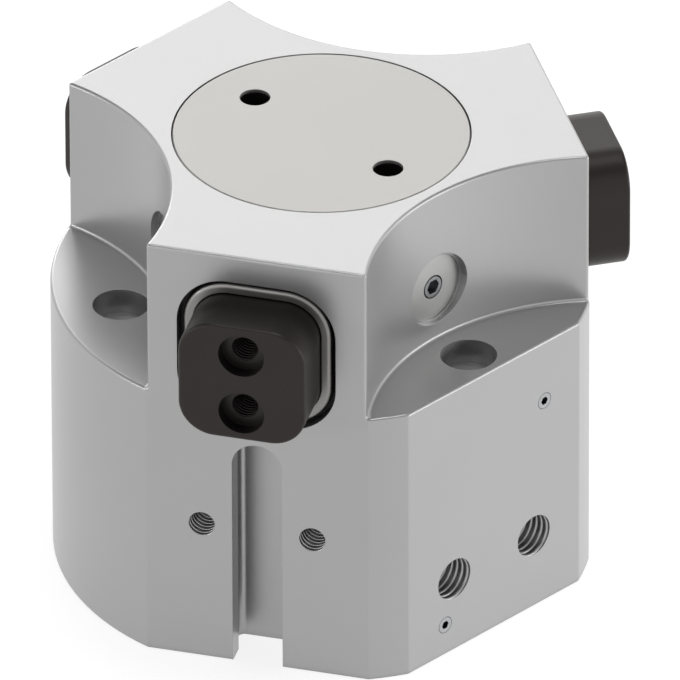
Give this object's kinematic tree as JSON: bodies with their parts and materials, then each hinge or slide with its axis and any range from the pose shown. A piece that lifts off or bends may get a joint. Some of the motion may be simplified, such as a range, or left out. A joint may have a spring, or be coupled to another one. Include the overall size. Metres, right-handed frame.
{
  "type": "three-jaw gripper",
  "caption": "Sealed pneumatic centric gripper: scooped light metal housing with dark sliding jaws, air ports, sensor slots and a flush round cover.",
  "frame": {"origin": "centre of the base face, on the axis of the centring bore", "axes": "+Z from the base to the cover, -Y towards the first jaw"},
  "size_m": [0.0648, 0.0634, 0.0527],
  "materials": {
    "anodised_aluminium": "matt anodised",
    "turned_aluminium": "fine turned",
    "plug_aluminium": "satin",
    "blackened_steel": "blackened",
    "bright_frame": "satin",
    "spring_steel": "oiled",
    "hardened_steel": "ground",
    "zinc_steel": "zinc plated",
    "black_screw": "black oxide",
    "ground_rod": "hard chromed",
    "bush_bronze": "sintered",
    "seal_rubber": "matt",
    "magnet_compound": "matt",
    "guide_plastic": "matt"
  },
  "bodies": {
    "housing_body": {"housing": "anodised_aluminium", "cover_plate": "turned_aluminium", "top_cover": "blackened_steel", "top_cover_seal": "seal_rubber", "base_cover": "turned_aluminium", "base_cover_seal": "seal_rubber", "retaining_ring": "spring_steel", "jaw_wiper_1": "seal_rubber", "jaw_wiper_2": "seal_rubber", "jaw_wiper_3": "seal_rubber", "wiper_frame_1": "bright_frame", "wiper_frame_2": "bright_frame", "wiper_frame_3": "bright_frame", "purge_plug_1": "plug_aluminium", "purge_plug_2": "plug_aluminium", "purge_plug_3": "plug_aluminium", "purge_plug_screw_1": "zinc_steel", "purge_plug_screw_2": "zinc_steel", "purge_plug_screw_3": "zinc_steel", "lower_channel_screw": "zinc_steel", "upper_channel_screw": "zinc_steel", "lower_base_screw": "zinc_steel", "upper_base_screw": "zinc_steel", "rod_bush": "bush_bronze", "rod_seal": "seal_rubber", "rod_seal_washer": "zinc_steel"},
    "piston_body": {"piston": "turned_aluminium", "piston_seal_lower": "seal_rubber", "piston_seal_upper": "seal_rubber", "piston_magnet": "magnet_compound", "piston_guide_ring": "guide_plastic", "piston_rod": "ground_rod", "piston_nut": "zinc_steel", "wedge_hook": "hardened_steel", "hook_screw": "black_screw"},
    "jaw_1_body": {"jaw_1": "blackened_steel"},
    "jaw_2_body": {"jaw_2": "blackened_steel"},
    "jaw_3_body": {"jaw_3": "blackened_steel"}
  },
  "joints": [
    {"name": "piston_slide", "type": "slide", "parent": "housing_body", "child": "piston_body", "axis": [0, 0, 1], "range_m": [0, 0.008]},
    {"name": "jaw_1_slide", "type": "slide", "parent": "housing_body", "child": "jaw_1_body", "axis": [0, 1, 0], "range_m": [0, 0.004]},
    {"name": "jaw_2_slide", "type": "slide", "parent": "housing_body", "child": "jaw_2_body", "axis": [-0.866, -0.5, 0], "range_m": [0, 0.004]},
    {"name": "jaw_3_slide", "type": "slide", "parent": "housing_body", "child": "jaw_3_body", "axis": [0.866, -0.5, 0], "range_m": [0, 0.004]}
  ],
  "couplings": [
    {"joint": "jaw_1_slide", "follows": "piston_slide", "ratio": 0.5},
    {"joint": "jaw_2_slide", "follows": "piston_slide", "ratio": 0.5},
    {"joint": "jaw_3_slide", "follows": "piston_slide", "ratio": 0.5}
  ]
}
